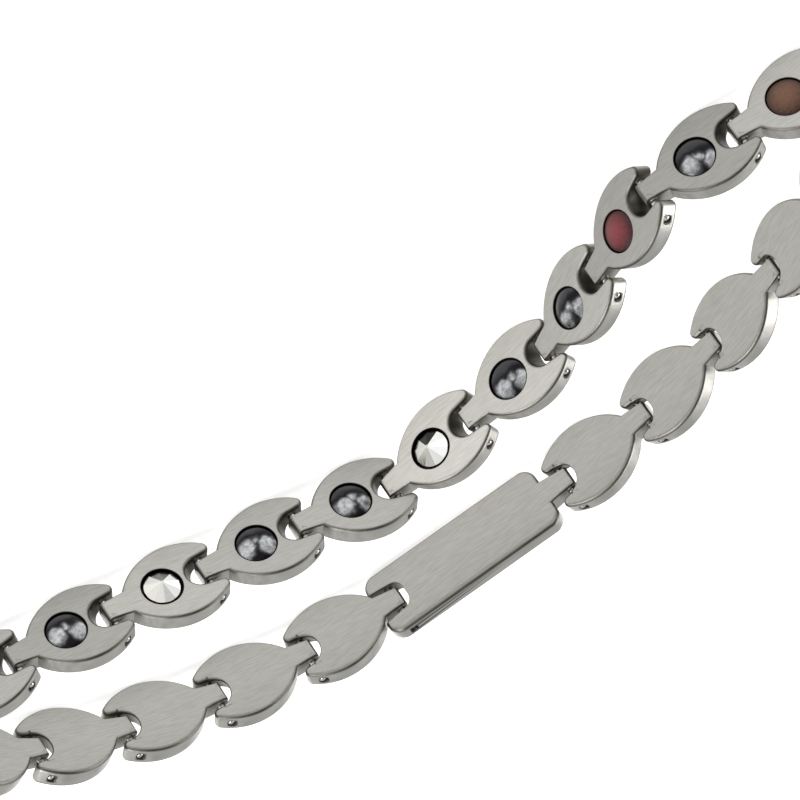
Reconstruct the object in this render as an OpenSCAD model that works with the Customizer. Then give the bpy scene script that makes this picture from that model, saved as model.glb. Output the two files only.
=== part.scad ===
// Link bracelet with a round insert let into the face of every link.
// It stands on the edges of its links as a closed loop. X runs along the long front run,
// Y goes from the front run back across the wrist hollow, Z is up along the hinge pins.
// The origin is under the middle of the loop, on the surface that it stands on.

/* [Link] */
// Distance between one hinge pin and the next
pitch = 8.6; // [8:0.1:9.6]
// Greatest width of a link across its face
link_w = 6.9; // [6.3:0.1:7.8]
// Thickness of a link from face to back
link_t = 1.8; // [1.6:0.05:2.2]
// Rounding where the outer edges and horn tips turn into the face
shoulder_r = 0.3; // [0.15:0.05:0.45]
// How much rounder the horn tips are, seen from the face, than that rounding
tip_extra = 0.2; // [0.1:0.05:0.3]
// How far from its tongue pin the shoulders of a link start
shoulder_x = 1.88; // [1.7:0.02:2.2]
// How far a horn point stops short of the next link's shoulder, before it is rounded
horn_gap = 0.16; // [0.1:0.02:0.4]

/* [Tongue and notch] */
// Width of the tongue at its free end
tongue_end_w = 1.7; // [1.4:0.05:2]
// Width of the tongue where it joins the body
tongue_root_w = 2.2; // [2:0.05:2.5]
// How far the tongue reaches past its pin
tongue_reach = 0.6; // [0.5:0.05:0.9]
// Rounding of the tongue's free end, seen from the side
tongue_end_r = 0.4; // [0.2:0.05:0.6]
// Gap between a tongue and each side of the notch it sits in
side_gap = 0.44; // [0.3:0.02:0.6]
// How far the notch goes past the pin into the body
notch_back = 1.88; // [1.7:0.02:2.3]

/* [Pocket and inserts] */
// Diameter of the round pocket in the face
pocket_d = 3.44; // [3:0.02:3.8]
// Depth of the pocket below the face
pocket_depth = 1.1; // [0.9:0.05:1.2]
// Metal left between the pocket and the notch
web = 0.4; // [0.2:0.05:0.6]
// Gap all round a domed insert
dome_gap = 0.1; // [0.05:0.01:0.2]
// Gap all round a faceted stone
stone_gap = 0.24; // [0.1:0.02:0.35]
// Gap under each insert
seat_gap = 0.02; // [0.01:0.01:0.05]
// How far the rim of an insert lies below the face
rim_drop = 0.12; // [0.05:0.01:0.3]
// How far the top of a dome stands above the face
dome_rise = 0.36; // [0.2:0.02:0.6]
// How far the table of a faceted stone stands above the face
stone_rise = 0.6; // [0.3:0.02:0.8]
// Width across the small flat table of a faceted stone
table_w = 0.3; // [0.2:0.02:0.8]
// Number of slanting facets round a faceted stone
stone_facets = 10; // [8:1:12]

/* [Pins] */
// Diameter of a hinge pin
pin_d = 0.7; // [0.6:0.05:0.8]
// Gap round a pin in its holes
pin_gap = 0.03; // [0.02:0.01:0.08]
// How far the middle of a pin's end lies inside the edge of the link
pin_recess = 0.04; // [0:0.02:0.2]
// Height of the domed end of a pin
pin_dome = 0.12; // [0.05:0.01:0.2]

/* [Clasp] */
// Width of the plain clasp piece
clasp_w = 6; // [5.6:0.1:6.8]
// Rounding of the clasp's corners, seen from its face
clasp_corner_r = 1.2; // [0.8:0.1:1.4]
// Rounding of the clasp's ends, seen from the side
clasp_edge_r = 0.4; // [0.2:0.05:0.6]

/* [Hidden] */
$fn = 96;
e = 0.5;

steel = [0.72, 0.71, 0.68];
dark = [0.12, 0.12, 0.13];
bright = [0.85, 0.85, 0.84];
red = [0.45, 0.2, 0.2];
brown = [0.4, 0.3, 0.25];

// Headings of the 11 links of the front run, in degrees, chosen by hand from the photograph.
// 0 runs towards -X and a positive heading turns out towards -Y.
front_headings = [14, 1, -2, 2, -3, 33, 36, 59, 61, 19, 15];
// The rest of the loop: six links, the clasp, six links. Each end turns by the shares below, and
// the joints between the two ends share one even turn.
rest_lengths = [1, 1, 1, 1, 1, 1, 2, 1, 1, 1, 1, 1, 1];
end_shares = [1, 0.5];
// What each piece carries, from the photograph for the front run and going on the same way behind.
carried = ["dark", "dark", "stone", "dark", "dark", "stone", "dark", "dark", "red", "dark", "brown",
    "dark", "stone", "dark", "dark", "stone", "dark", "clasp",
    "dark", "red", "dark", "brown", "dark", "stone"];
front_count = len(front_headings);
rest_count = len(rest_lengths);
share_sum = end_shares[0] + end_shares[1];
middle_count = rest_count + 1 - 2 * len(end_shares);

// The two end turns are the unknowns. They are found so that the last pin meets the first.
function along(h) = [-cos(h), -sin(h)];
function total(v, i = 0) = i == len(v) ? [0, 0] : v[i] + total(v, i + 1);
function even_turn(t) = (360 + front_headings[front_count - 1] - front_headings[0]
    - share_sum * (t[0] + t[1])) / middle_count;
function turn_at(t, i) =
    i < len(end_shares) ? t[0] * end_shares[i] :
    i < len(end_shares) + middle_count ? even_turn(t) :
    t[1] * end_shares[rest_count - i];
function rest_heading(t, i) =
    (i == 0 ? front_headings[front_count - 1] : rest_heading(t, i - 1)) - turn_at(t, i);
function miss(t) = total([for (h = front_headings) along(h)])
    + total([for (i = [0 : rest_count - 1]) rest_lengths[i] * along(rest_heading(t, i))]);
function corrected(t) = let (
    m = miss(t),
    a = (miss(t + [0.01, 0]) - m) / 0.01,
    b = (miss(t + [0, 0.01]) - m) / 0.01,
    d = a[0] * b[1] - a[1] * b[0])
    t - [(m[0] * b[1] - m[1] * b[0]) / d, (a[0] * m[1] - a[1] * m[0]) / d];
function closed(t, n) = n == 0 ? t : closed(corrected(t), n - 1);
end_turns = closed([80, 90], 8);

headings = concat(front_headings, [for (i = [0 : rest_count - 1]) rest_heading(end_turns, i)]);
lengths = concat([for (h = front_headings) 1], rest_lengths);
piece_count = len(headings);
function pin_at(i) = i == 0 ? [0, 0] : pin_at(i - 1) + pitch * lengths[i - 1] * along(headings[i - 1]);
pins = [for (i = [0 : piece_count - 1]) pin_at(i)];

// Sizes of a link that follow from the named ones. In a link x runs from the tongue pin to the
// horn pin, y across the face and z out of the face, with the pins at the height of z = 0.
face_z = link_t / 2;
mouth_y = tongue_root_w / 2 + side_gap;
body_half = (pitch - horn_gap) / 2;
belly_x = shoulder_x + body_half;
belly_rise = link_w / 2 - mouth_y;
edge_r = (body_half * body_half + belly_rise * belly_rise) / (2 * belly_rise);
edge_y = edge_r - link_w / 2;
function edge_at(x) = sqrt(edge_r * edge_r - (x - belly_x) * (x - belly_x)) - edge_y;
notch_r = tongue_end_w / 2 + side_gap;
notch_x = pitch - notch_back + notch_r;
mouth_x = pitch + shoulder_x;
pocket_x = pitch - notch_back - web - pocket_d / 2;
bore_d = pin_d + 2 * pin_gap;
notch_slope = (mouth_y - notch_r) / (mouth_x - notch_x);
notch_lean = atan(notch_slope);
horn_r = shoulder_r + tip_extra;
function tip_x_at(y) = belly_x + sqrt(pow(edge_r - horn_r, 2) - pow(y + edge_y, 2));
function tip_y_at(x) = notch_r + notch_slope * (x - notch_x) + horn_r / cos(notch_lean);
function tip_y_after(n) = n == 0 ? mouth_y + horn_r : tip_y_at(tip_x_at(tip_y_after(n - 1)));
// The rounding of a tip is drawn a little larger than that of the edges, so that their surfaces cross.
tip_tube = shoulder_r + 0.03;
tip_y = tip_y_after(12);
tip_x = tip_x_at(tip_y);
pin_half = edge_at(pitch) - pin_recess;
floor_z = face_z - pocket_depth + seat_gap;

// Corner rounds of every piece seen from above, which give the loop's true extent.
function turned(p, i) = pins[i] + p[0] * along(headings[i]) + p[1] * along(headings[i] + 90);
function corner_rounds(i) = [for (s = [-1, 1]) for (c = [
    [tongue_end_r - tongue_reach, s * (face_z - tongue_end_r), tongue_end_r],
    lengths[i] == 1 ? [tip_x + tip_extra, s * (face_z - shoulder_r), shoulder_r] :
    [2 * pitch + shoulder_x - horn_gap - clasp_edge_r, s * (face_z - clasp_edge_r), clasp_edge_r]])
    concat(turned(c, i), c[2])];
function insert_top(i) = concat(turned([pocket_x, face_z +
    (carried[i] == "clasp" ? 0 : carried[i] == "stone" ? stone_rise : dome_rise)], i), 0);
rounds = [for (i = [0 : piece_count - 1]) each concat(corner_rounds(i), [insert_top(i)])];
low = [for (k = [0, 1]) min([for (c = rounds) c[k] - c[2]])];
high = [for (k = [0, 1]) max([for (c = rounds) c[k] + c[2]])];
middle = (low + high) / 2;

// A round plate with rounded rims, centred on z = 0.
module round_plate(r) {
    rotate_extrude()
        union() {
            translate([0, -face_z]) square([r - shoulder_r, link_t]);
            translate([0, shoulder_r - face_z]) square([r, link_t - 2 * shoulder_r]);
            for (s = [-1, 1])
                translate([r - shoulder_r, s * (face_z - shoulder_r)]) circle(r = shoulder_r);
        }
}

// The leaf shape with two curved edges: where two round plates cross.
module leaf() {
    intersection() {
        translate([belly_x, edge_y, 0]) round_plate(edge_r);
        translate([belly_x, -edge_y, 0]) round_plate(edge_r);
    }
}

// A tapering tongue whose free end is rounded over its thickness.
module tongue(root_x) {
    intersection() {
        translate([0, 0, -face_z])
            linear_extrude(link_t)
                polygon([
                    [-tongue_reach, -tongue_end_w / 2],
                    [shoulder_x, -tongue_root_w / 2],
                    [root_x, -tongue_root_w / 2],
                    [root_x, tongue_root_w / 2],
                    [shoulder_x, tongue_root_w / 2],
                    [-tongue_reach, tongue_end_w / 2]]);
        rotate([90, 0, 0])
            linear_extrude(tongue_root_w + 2 * e, center = true)
                union() {
                    translate([tongue_end_r - tongue_reach, -face_z]) square([root_x + tongue_reach, link_t]);
                    translate([-tongue_reach, tongue_end_r - face_z])
                        square([tongue_end_r, link_t - 2 * tongue_end_r]);
                    for (s = [-1, 1])
                        translate([tongue_end_r - tongue_reach, s * (face_z - tongue_end_r)])
                            circle(r = tongue_end_r);
                }
    }
}

// The notch that the next tongue sits in, for a horn pin at x = 0.
module notch() {
    translate([0, 0, -face_z - e])
        linear_extrude(link_t + 2 * e)
            union() {
                translate([notch_x - pitch, 0]) circle(r = notch_r);
                polygon([
                    [notch_x - pitch, -notch_r],
                    [mouth_x - pitch, -mouth_y],
                    [mouth_x - pitch + 2, -mouth_y],
                    [mouth_x - pitch + 2, mouth_y],
                    [mouth_x - pitch, mouth_y],
                    [notch_x - pitch, notch_r]]);
            }
}

module bore() {
    rotate([90, 0, 0]) cylinder(d = bore_d, h = link_w + 2 * e, center = true);
}

// A small round plate, a little larger than a horn tip all round.
module tip_plate() {
    rotate_extrude()
        intersection() {
            union() {
                translate([0, -face_z + shoulder_r - tip_tube])
                    square([tip_extra, link_t + 2 * (tip_tube - shoulder_r)]);
                translate([0, shoulder_r - face_z]) square([tip_extra + tip_tube, link_t - 2 * shoulder_r]);
                for (s = [-1, 1])
                    translate([tip_extra, s * (face_z - shoulder_r)]) circle(r = tip_tube);
            }
            translate([0, -link_t]) square([3 * horn_r, 2 * link_t]);
        }
}

// What is taken off a horn to leave a round tip.
module tip_cut() {
    a = atan2(tip_y + edge_y, tip_x - belly_x);
    out = horn_r + 2 * e;
    difference() {
        translate([tip_x, tip_y, -face_z - e])
            linear_extrude(link_t + 2 * e)
                polygon([
                    [0, 0],
                    [out * cos(a), out * sin(a)],
                    [out, 0],
                    [out, -out],
                    [out * sin(notch_lean), -out * cos(notch_lean)]]);
        translate([tip_x, tip_y, 0]) tip_plate();
    }
}

module link_body() {
    difference() {
        union() {
            leaf();
            tongue(pocket_x);
        }
        translate([pitch, 0, 0]) notch();
        tip_cut();
        mirror([0, 1, 0]) tip_cut();
        bore();
        translate([pitch, 0, 0]) bore();
        translate([pocket_x, 0, face_z - pocket_depth]) cylinder(d = pocket_d, h = pocket_depth + e);
    }
}

module dome() {
    r = pocket_d / 2 - dome_gap;
    h = dome_rise + rim_drop;
    ball_r = (r * r + h * h) / (2 * h);
    translate([pocket_x, 0, 0])
        intersection() {
            translate([0, 0, floor_z]) cylinder(r = r, h = face_z + dome_rise - floor_z + e);
            translate([0, 0, face_z + dome_rise - ball_r]) sphere(r = ball_r);
            translate([-r - e, -r - e, floor_z]) cube([2 * (r + e), 2 * (r + e), 3 * link_t]);
        }
}

module stone() {
    r = pocket_d / 2 - stone_gap;
    translate([pocket_x, 0, 0])
        union() {
            translate([0, 0, floor_z]) cylinder(r = r, h = face_z - rim_drop - floor_z, $fn = stone_facets);
            translate([0, 0, face_z - rim_drop])
                cylinder(r1 = r, r2 = table_w / 2, h = rim_drop + stone_rise, $fn = stone_facets);
        }
}

module clasp_body() {
    far_x = 2 * pitch + shoulder_x - horn_gap;
    difference() {
        union() {
            intersection() {
                translate([0, 0, -face_z])
                    linear_extrude(link_t)
                        union() {
                            translate([shoulder_x + clasp_corner_r, -clasp_w / 2])
                                square([far_x - shoulder_x - 2 * clasp_corner_r, clasp_w]);
                            translate([shoulder_x, clasp_corner_r - clasp_w / 2])
                                square([far_x - shoulder_x, clasp_w - 2 * clasp_corner_r]);
                            for (x = [shoulder_x + clasp_corner_r, far_x - clasp_corner_r])
                                for (s = [-1, 1])
                                    translate([x, s * (clasp_w / 2 - clasp_corner_r)])
                                        circle(r = clasp_corner_r);
                        }
                rotate([90, 0, 0])
                    linear_extrude(clasp_w + 2 * e, center = true)
                        union() {
                            translate([shoulder_x + clasp_edge_r, -face_z])
                                square([far_x - shoulder_x - 2 * clasp_edge_r, link_t]);
                            translate([shoulder_x, clasp_edge_r - face_z])
                                square([far_x - shoulder_x, link_t - 2 * clasp_edge_r]);
                            for (x = [shoulder_x + clasp_edge_r, far_x - clasp_edge_r])
                                for (s = [-1, 1])
                                    translate([x, s * (face_z - clasp_edge_r)]) circle(r = clasp_edge_r);
                        }
            }
            tongue(2 * shoulder_x);
        }
        translate([2 * pitch, 0, 0]) notch();
        bore();
        translate([2 * pitch, 0, 0]) bore();
    }
}

// A hinge pin standing on its middle, with a low dome on each end.
module hinge_pin() {
    ball_r = (pin_d * pin_d / 4 + pin_dome * pin_dome) / (2 * pin_dome);
    shank = pin_half - pin_dome;
    union() {
        cylinder(d = pin_d, h = 2 * shank, center = true);
        for (s = [0, 1])
            mirror([0, 0, s])
                intersection() {
                    translate([0, 0, pin_half - ball_r]) sphere(r = ball_r);
                    cylinder(d = pin_d, h = pin_half + e);
                    translate([0, 0, shank - pin_dome]) cylinder(d = pin_d + e, h = 3 * pin_dome);
                }
    }
}

// Puts a piece, drawn along x with its face up, into place i of the loop.
module at_place(i) {
    translate([pins[i][0] - middle[0], pins[i][1] - middle[1], link_w / 2])
        rotate([0, 0, headings[i] + 180])
            rotate([-90, 0, 0])
                children();
}

module link_at(i) {
    color(steel) at_place(i) link_body();
}

module dome_at(i, shade) {
    color(shade) at_place(i) dome();
}

module stone_at(i) {
    color(bright) at_place(i) stone();
}

module link_01() { link_at(0); }
module link_02() { link_at(1); }
module link_03() { link_at(2); }
module link_04() { link_at(3); }
module link_05() { link_at(4); }
module link_06() { link_at(5); }
module link_07() { link_at(6); }
module link_08() { link_at(7); }
module link_09() { link_at(8); }
module link_10() { link_at(9); }
module link_11() { link_at(10); }
module link_12() { link_at(11); }
module link_13() { link_at(12); }
module link_14() { link_at(13); }
module link_15() { link_at(14); }
module link_16() { link_at(15); }
module link_17() { link_at(16); }
module link_18() { link_at(18); }
module link_19() { link_at(19); }
module link_20() { link_at(20); }
module link_21() { link_at(21); }
module link_22() { link_at(22); }
module link_23() { link_at(23); }

module dark_dome_01() { dome_at(0, dark); }
module dark_dome_02() { dome_at(1, dark); }
module bright_stone_03() { stone_at(2); }
module dark_dome_04() { dome_at(3, dark); }
module dark_dome_05() { dome_at(4, dark); }
module bright_stone_06() { stone_at(5); }
module dark_dome_07() { dome_at(6, dark); }
module dark_dome_08() { dome_at(7, dark); }
module red_dome_09() { dome_at(8, red); }
module dark_dome_10() { dome_at(9, dark); }
module brown_dome_11() { dome_at(10, brown); }
module dark_dome_12() { dome_at(11, dark); }
module bright_stone_13() { stone_at(12); }
module dark_dome_14() { dome_at(13, dark); }
module dark_dome_15() { dome_at(14, dark); }
module bright_stone_16() { stone_at(15); }
module dark_dome_17() { dome_at(16, dark); }
module dark_dome_18() { dome_at(18, dark); }
module red_dome_19() { dome_at(19, red); }
module dark_dome_20() { dome_at(20, dark); }
module brown_dome_21() { dome_at(21, brown); }
module dark_dome_22() { dome_at(22, dark); }
module bright_stone_23() { stone_at(23); }

module clasp() {
    color(steel) at_place(search(["clasp"], carried)[0]) clasp_body();
}

module hinge_pins() {
    color(steel)
        for (p = pins)
            translate([p[0] - middle[0], p[1] - middle[1], link_w / 2]) hinge_pin();
}

link_01();
link_02();
link_03();
link_04();
link_05();
link_06();
link_07();
link_08();
link_09();
link_10();
link_11();
link_12();
link_13();
link_14();
link_15();
link_16();
link_17();
link_18();
link_19();
link_20();
link_21();
link_22();
link_23();
dark_dome_01();
dark_dome_02();
bright_stone_03();
dark_dome_04();
dark_dome_05();
bright_stone_06();
dark_dome_07();
dark_dome_08();
red_dome_09();
dark_dome_10();
brown_dome_11();
dark_dome_12();
bright_stone_13();
dark_dome_14();
dark_dome_15();
bright_stone_16();
dark_dome_17();
dark_dome_18();
red_dome_19();
dark_dome_20();
brown_dome_21();
dark_dome_22();
bright_stone_23();
clasp();
hinge_pins();
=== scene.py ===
"""Looks of the link bracelet: finely rounded links, polished and matt inserts, pins, table and light."""
import math

import bmesh
import bpy
from mathutils import Matrix, Vector


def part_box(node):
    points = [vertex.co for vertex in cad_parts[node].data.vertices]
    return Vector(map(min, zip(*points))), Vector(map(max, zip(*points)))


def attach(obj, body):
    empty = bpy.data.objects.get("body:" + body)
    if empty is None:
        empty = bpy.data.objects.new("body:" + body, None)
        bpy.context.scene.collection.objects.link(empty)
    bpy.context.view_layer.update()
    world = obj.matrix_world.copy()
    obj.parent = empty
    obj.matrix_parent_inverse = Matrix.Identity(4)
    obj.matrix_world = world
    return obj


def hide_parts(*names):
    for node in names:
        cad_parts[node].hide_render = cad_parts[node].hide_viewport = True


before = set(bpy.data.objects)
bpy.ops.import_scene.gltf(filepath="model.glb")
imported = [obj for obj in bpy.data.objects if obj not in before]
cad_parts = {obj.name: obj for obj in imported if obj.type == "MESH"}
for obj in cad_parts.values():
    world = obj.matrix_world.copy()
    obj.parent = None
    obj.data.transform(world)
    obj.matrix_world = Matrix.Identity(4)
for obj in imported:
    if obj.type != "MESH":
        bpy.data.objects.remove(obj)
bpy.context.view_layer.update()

MM = 0.001

# Sizes in millimetres and the stones' number of facets, the same as in the construction.
PITCH = 8.6
LINK_W = 6.9
LINK_T = 1.8
SHOULDER_X = 1.88
HORN_GAP = 0.16
SHOULDER_R = 0.3
TIP_EXTRA = 0.2
TONGUE_END_W = 1.7
TONGUE_ROOT_W = 2.2
TONGUE_REACH = 0.6
TONGUE_END_R = 0.4
SIDE_GAP = 0.44
NOTCH_BACK = 1.88
POCKET_D = 3.44
POCKET_DEPTH = 1.1
WEB = 0.4
DOME_GAP = 0.1
STONE_GAP = 0.24
SEAT_GAP = 0.02
RIM_DROP = 0.12
DOME_RISE = 0.36
STONE_RISE = 0.6
TABLE_W = 0.3
STONE_FACETS = 10
PIN_D = 0.7
PIN_GAP = 0.03
PIN_RECESS = 0.04
PIN_DOME = 0.12
CLASP_W = 6.0
CLASP_CORNER_R = 1.2
CLASP_EDGE_R = 0.4

# Edges that the construction leaves sharp and the real links have softened by tumbling.
NOTCH_FLANK_R = 0.36
NOTCH_END_R = 0.2
TONGUE_SIDE_R = 0.18
CLASP_NOTCH_R = 0.1
RIM_EDGE_R = 0.07

# How far the notch's closed end leans out towards the back.
NOTCH_LEAN = 0.75

# Each pin's end is turned down by PIN_NECK. Below its dome, the slope out to the full width runs from
# NECK_TOP to NECK_FOOT.
PIN_NECK = 0.06
NECK_TOP = 0.1
NECK_FOOT = 0.14

# Narrow flat bands beside rounded edges, which keep the shading of a face flat.
FLAT_BAND = 0.05
RIM_BAND = 0.03

# How finely curves are drawn, in steps, and the angle past which an edge stays crisp, in degrees.
TIP_STEPS = 11
NOTCH_STEPS = 13
CLASP_NOTCH_STEPS = 28
LEAF_STEPS = 40
CORNER_STEPS = 10
CROWN_STEPS = 18
PIN_DOME_STEPS = 5
FACET_STEPS = 6
POCKET_SIDES = 56
BORE_SIDES = 32
PIN_SIDES = 28
PLATE_CREASE = 33
FACET_CREASE = 15
INSERT_CREASE = 50

# Points this close are merged, points this near to an arc count as on it, and two edges that turn by less than
# this sine are offset as one line.
MERGE_GAP = 0.0005
ON_ARC = 0.01
NEARLY_STRAIGHT = 0.12

# Depths below the face at which a plate's rounded edges are drawn.
DEPTHS = [0, 0.01, 0.035, 0.075, 0.13, 0.2, 0.29, 0.4]

# How light each brushed face is painted, from the first link on: painted light and shade, one tone for each link of
# the front run as the light falls on it. The last tone holds for all that follow.
LINK_LIGHT_TONES = ["#d8d8d8", "#cccccc", "#e4e4e4", "#dadada", "#dedede", "#ffffff", "#f2f2f2", "#e0e0e0", "#cecece",
              "#c8c8c8", "#e0e0e0"]

# Painted reflections: lighter patches on a dark dome, in millimetres from its middle, each with its radius.
REFLECTION_PATCHES = [(-0.95, -0.3, 0.96), (0.04, 0.08, 0.52), (0.92, -0.72, 1.0)]
PATCH_WANDER = 1.1
PATCH_HEIGHT = 1.1

# Painted reflections: the facets' tones, anticlockwise from the one nearest to the notch. The second and third are
# the dark ones.
FACET_REFLECTIONS = ["#e0e0dc", "#77766f", "#77766f", "#cbcac5", "#d2d1cb", "#c4c2ba", "#dedcd6", "#ecece9", "#f4f4f2",
               "#ececea"]

# A Mix node's two colour inputs and its colour output.
MIX_A, MIX_B, MIXED = 6, 7, 2

FACE_Z = LINK_T / 2
MOUTH_Y = TONGUE_ROOT_W / 2 + SIDE_GAP
BODY_HALF = (PITCH - HORN_GAP) / 2
BELLY_X = SHOULDER_X + BODY_HALF
BELLY_RISE = LINK_W / 2 - MOUTH_Y
EDGE_R = (BODY_HALF ** 2 + BELLY_RISE ** 2) / (2 * BELLY_RISE)
EDGE_Y = EDGE_R - LINK_W / 2
NOTCH_R = TONGUE_END_W / 2 + SIDE_GAP
NOTCH_X = PITCH - NOTCH_BACK + NOTCH_R
MOUTH_X = PITCH + SHOULDER_X
POCKET_X = PITCH - NOTCH_BACK - WEB - POCKET_D / 2
NOTCH_SLOPE = (MOUTH_Y - NOTCH_R) / (MOUTH_X - NOTCH_X)
HORN_R = SHOULDER_R + TIP_EXTRA

# The loop

FRONT_HEADINGS = [14, 1, -2, 2, -3, 33, 36, 59, 61, 19, 15]
REST_LENGTHS = [1, 1, 1, 1, 1, 1, 2, 1, 1, 1, 1, 1, 1]
END_SHARES = [1, 0.5]
CARRIED = ["dark", "dark", "stone", "dark", "dark", "stone", "dark", "dark", "red", "dark", "brown",
           "dark", "stone", "dark", "dark", "stone", "dark", "clasp",
           "dark", "red", "dark", "brown", "dark", "stone"]


def along(heading):
    """A unit step along a heading, in degrees from the frame's -X."""
    return Vector((-math.cos(math.radians(heading)), -math.sin(math.radians(heading))))


def rest_headings(turns):
    """Headings behind the front run for the two end turns: shares at each end, one even turn between."""
    middle = len(REST_LENGTHS) + 1 - 2 * len(END_SHARES)
    even = (360 + FRONT_HEADINGS[-1] - FRONT_HEADINGS[0] - sum(END_SHARES) * sum(turns)) / middle
    steps = [turns[0] * s for s in END_SHARES] + [even] * middle + [turns[1] * s for s in END_SHARES[::-1]]
    heading, out = FRONT_HEADINGS[-1], []
    for step in steps[:len(REST_LENGTHS)]:
        heading -= step
        out.append(heading)
    return out


def miss(turns):
    """How far the loop's end lands from its start for the two end turns, in links."""
    end = Vector((0, 0))
    for heading in FRONT_HEADINGS:
        end += along(heading)
    for heading, length in zip(rest_headings(turns), REST_LENGTHS):
        end += length * along(heading)
    return end


def close_loop():
    """Newton's method on the two end turns until the last pin meets the first."""
    turns = [80.0, 90.0]
    nudge = 0.01
    for _ in range(8):
        m = miss(turns)
        a = (miss([turns[0] + nudge, turns[1]]) - m) / nudge
        b = (miss([turns[0], turns[1] + nudge]) - m) / nudge
        d = a.x * b.y - a.y * b.x
        turns = [turns[0] - (m.x * b.y - m.y * b.x) / d, turns[1] - (a.x * m.y - a.y * m.x) / d]
    return turns


headings = FRONT_HEADINGS + rest_headings(close_loop())
lengths = [1] * len(FRONT_HEADINGS) + REST_LENGTHS
pins = [Vector((0, 0))]
for heading, length in zip(headings[:-1], lengths[:-1]):
    pins.append(pins[-1] + PITCH * length * along(heading))

# The pins' own node says where the loop lies in the frame.
pin_low, pin_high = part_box("hinge_pins")
shift = Vector(((pin_low[0] + pin_high[0]) / 2, (pin_low[1] + pin_high[1]) / 2)) / MM
shift -= Vector(((min(p.x for p in pins) + max(p.x for p in pins)) / 2,
                 (min(p.y for p in pins) + max(p.y for p in pins)) / 2))
pins = [p + shift for p in pins]

# Small tools


def linear(code):
    """sRGB hex to the linear colour that shaders take."""
    parts = [int(code[i:i + 2], 16) / 255 for i in (1, 3, 5)]
    return [c / 12.92 if c <= 0.04045 else ((c + 0.055) / 1.055) ** 2.4 for c in parts] + [1.0]


def add(tree, kind, feeds=None, stops=(), **settings):
    """Adds a node with its settings. feeds gives each input a socket to link from or a value, and stops gives
    a colour ramp its pairs of position and colour, from the lowest up."""
    node = tree.nodes.new(kind)
    for name, value in settings.items():
        setattr(node, name, value)
    for i, (position, code) in enumerate(stops):
        elements = node.color_ramp.elements
        element = elements[i] if i < 2 else elements.new(position)
        element.position, element.color = position, linear(code)
    for key, value in (feeds or {}).items():
        if isinstance(value, bpy.types.NodeSocket):
            tree.links.new(value, node.inputs[key])
        else:
            node.inputs[key].default_value = value
    return node


def new_object(name, mesh):
    obj = bpy.data.objects.new(name, mesh)
    bpy.context.scene.collection.objects.link(obj)
    return obj


# Outlines of the plates, anticlockwise, each edge with the rounding it has at the face


def arc(cx, cy, r, start, end, count, rounding, rounding_end=None):
    """Points on an arc with the rounding of the edge that leaves each, in degrees."""
    out = []
    for i in range(count):
        t = i / count
        a = math.radians(start + (end - start) * t)
        edge = rounding if rounding_end is None else rounding + (rounding_end - rounding) * t
        out.append((cx + r * math.cos(a), cy + r * math.sin(a), edge))
    return out


def tongue_outline(x0, y0):
    """The tongue from its root at (x0, y0), round its free end and back to (x0, -y0)."""
    half = TONGUE_END_W / 2
    side = [(x0 - (x0 + TONGUE_REACH) * t, y0 + (half - y0) * t) for t in (0, 0.3, 0.6, 0.8)]
    upper = [(x, y, TONGUE_SIDE_R) for x, y in side]
    end = [(-TONGUE_REACH, half - 2 * half * t, TONGUE_END_R) for t in (0, 0.25, 0.5, 0.75)]
    lower = [(x, -y, TONGUE_SIDE_R) for x, y in side[:0:-1]]
    return upper + end + [(-TONGUE_REACH, -half, TONGUE_SIDE_R)] + lower


def notch_outline(tip_x, tip_y, tip_turn):
    """From the lower horn's outer edge round its tip, the notch and the upper horn's tip."""
    lean = math.degrees(math.atan(NOTCH_SLOPE))
    lower_tip = arc(tip_x, -tip_y, HORN_R, -tip_turn, 90 - lean, TIP_STEPS, SHOULDER_R, NOTCH_FLANK_R)
    flank = [(NOTCH_X + (tip_x - NOTCH_X) * t, NOTCH_R + NOTCH_SLOPE * (tip_x - NOTCH_X) * t, NOTCH_FLANK_R)
             for t in (0.2, 0.4, 0.6, 0.8)]
    lower_flank = [(x, -y, r) for x, y, r in reversed(flank)]
    # The closed end turns the other way, because it is cut into the plate.
    lower_end = arc(NOTCH_X, 0, NOTCH_R, 270, 180, NOTCH_STEPS, NOTCH_FLANK_R, NOTCH_END_R)
    upper_end = arc(NOTCH_X, 0, NOTCH_R, 180, 90, NOTCH_STEPS, NOTCH_END_R, NOTCH_FLANK_R)
    upper_tip = arc(tip_x, tip_y, HORN_R, -90 + lean, tip_turn, TIP_STEPS, NOTCH_FLANK_R, SHOULDER_R)
    return lower_tip + lower_flank + lower_end + upper_end + [(NOTCH_X, NOTCH_R, NOTCH_FLANK_R)] + flank + upper_tip


def link_outline():
    """The leaf: tongue, lower edge, horns and notch, upper edge."""
    lean = math.atan(NOTCH_SLOPE)
    tip_y = MOUTH_Y + HORN_R
    for _ in range(12):
        tip_x = BELLY_X + math.sqrt((EDGE_R - HORN_R) ** 2 - (tip_y + EDGE_Y) ** 2)
        tip_y = NOTCH_R + NOTCH_SLOPE * (tip_x - NOTCH_X) + HORN_R / math.cos(lean)
    # Where the leaf's edge meets the side of the tongue.
    slope = (TONGUE_ROOT_W - TONGUE_END_W) / 2 / (SHOULDER_X + TONGUE_REACH)
    x0 = SHOULDER_X
    for _ in range(30):
        y0 = TONGUE_END_W / 2 + slope * (x0 + TONGUE_REACH)
        x0 = BELLY_X - math.sqrt(EDGE_R ** 2 - (y0 + EDGE_Y) ** 2)
    tip_turn = math.degrees(math.atan2(tip_y + EDGE_Y, tip_x - BELLY_X))
    root_turn = math.degrees(math.atan2(y0 + EDGE_Y, x0 - BELLY_X))
    upper_edge = arc(BELLY_X, -EDGE_Y, EDGE_R, tip_turn, root_turn, LEAF_STEPS, SHOULDER_R)
    lower_edge = arc(BELLY_X, EDGE_Y, EDGE_R, -root_turn, -tip_turn, LEAF_STEPS, SHOULDER_R)
    return tongue_outline(x0, y0) + lower_edge + notch_outline(tip_x, tip_y, tip_turn) + upper_edge


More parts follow.
